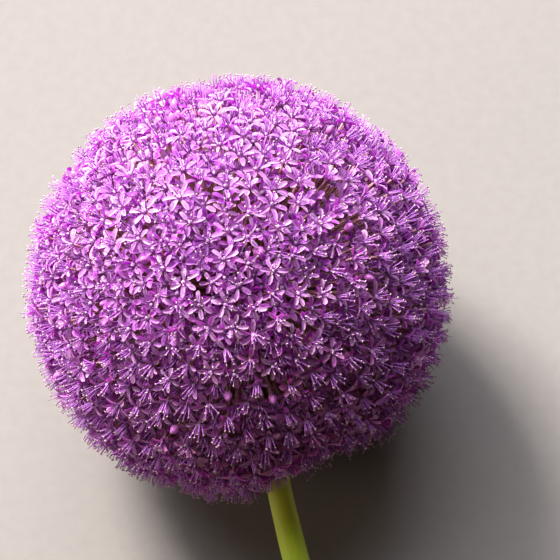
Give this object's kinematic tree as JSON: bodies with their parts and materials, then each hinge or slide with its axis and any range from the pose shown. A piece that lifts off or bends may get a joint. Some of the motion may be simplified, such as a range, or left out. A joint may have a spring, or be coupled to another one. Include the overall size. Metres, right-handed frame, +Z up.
{
  "type": "allium flower head",
  "caption": "Round lilac allium flower head of star-shaped florets on a short length of cut green stem, lying on its side.",
  "frame": {"origin": "On the surface that the flower lies on, straight below the middle of the globe, in the flat underside of the lowest floret", "axes": "+Z up. The stem runs from the globe's middle towards -Y and down to the surface, and the top of the flower faces +Y and up. +X is to the right when seen from the stem's side"},
  "size_m": [0.1434, 0.2131, 0.1375],
  "materials": {
    "florets": "matte, slightly velvety petals",
    "stem": "smooth, waxy satin"
  },
  "bodies": {
    "root": {"flower_head": "florets", "scape": "stem"}
  },
  "joints": []
}
